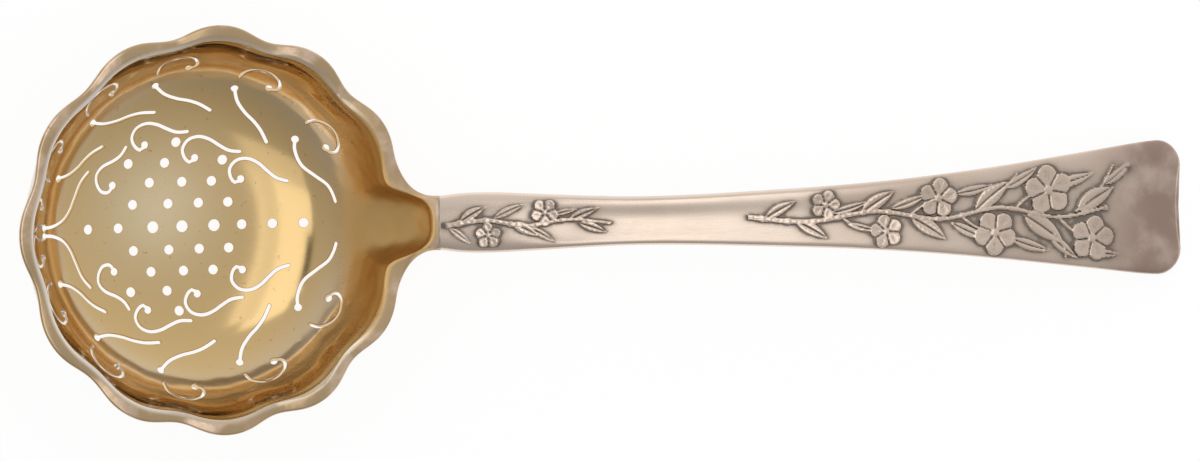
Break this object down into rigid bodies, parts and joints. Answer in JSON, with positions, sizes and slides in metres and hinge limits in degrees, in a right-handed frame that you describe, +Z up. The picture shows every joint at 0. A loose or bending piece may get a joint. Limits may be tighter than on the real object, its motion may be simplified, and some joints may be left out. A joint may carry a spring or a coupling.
{
  "type": "pierced serving spoon",
  "caption": "Serving spoon with a deep round pierced bowl, a lobed flared lip, a narrow neck and a flat handle that flares to a square end.",
  "frame": {"origin": "middle of the spoon's box, on the surface that it lies on", "axes": "+X from the bowl to the end of the handle, +Z up out of the bowl, the spoon lying on its bowl and on the end of its handle"},
  "size_m": [0.2286, 0.0788, 0.0385],
  "materials": {
    "gilt_silver": "polished gilt, worn to paler metal on the lip",
    "silver_solder": "satin",
    "silver": "soft polish with darkened recesses"
  },
  "bodies": {
    "root": {"bowl": "gilt_silver", "solder_seam": "silver_solder", "handle": "silver"}
  },
  "joints": []
}
